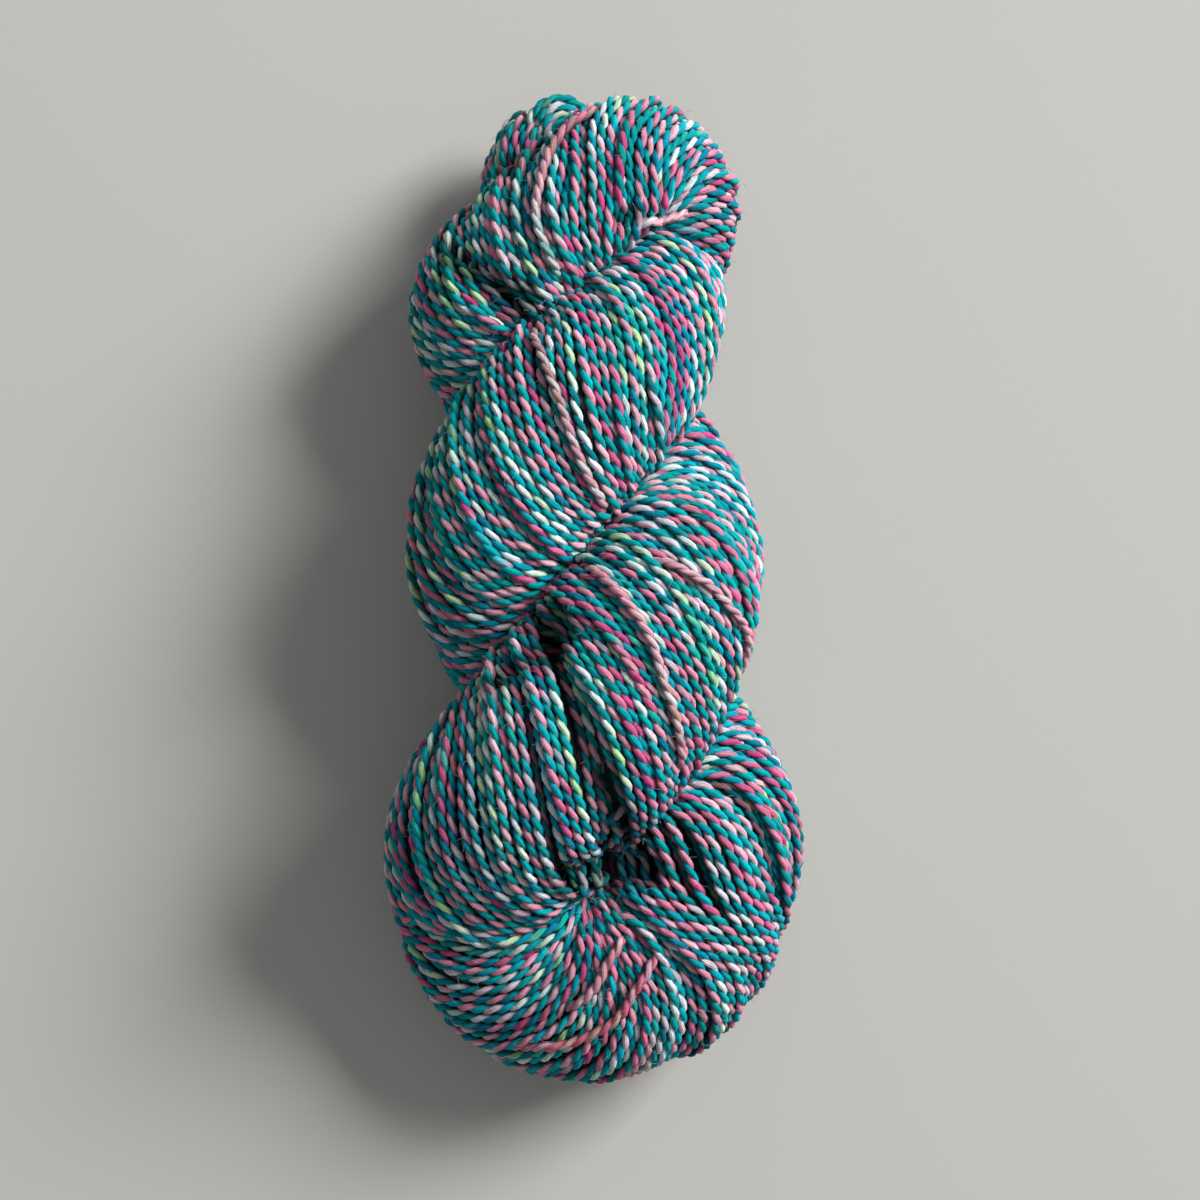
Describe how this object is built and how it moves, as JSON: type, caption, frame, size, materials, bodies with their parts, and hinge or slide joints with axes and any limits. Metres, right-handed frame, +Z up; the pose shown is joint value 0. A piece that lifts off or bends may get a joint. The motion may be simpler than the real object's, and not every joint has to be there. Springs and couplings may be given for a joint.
{
  "type": "skein of yarn",
  "caption": "Skein of two-ply hand-dyed wool yarn, twisted and folded into a rope-laid hank with its head tucked through, lying flat.",
  "frame": {"origin": "centre of the hank's bounding box in plan, on the surface that it lies on", "axes": "+Y along the hank from its foot fold to its tucked head, +Z up out of the surface, +X to the right seen from above with the head away"},
  "size_m": [0.1086, 0.2584, 0.0665],
  "materials": {
    "dyed_wool": "hand-dyed two-ply wool in teal, turquoise, rose pink, pale green and off-white, matt with a soft sheen"
  },
  "bodies": {
    "root": {"yarn_hank": "dyed_wool"}
  },
  "joints": []
}
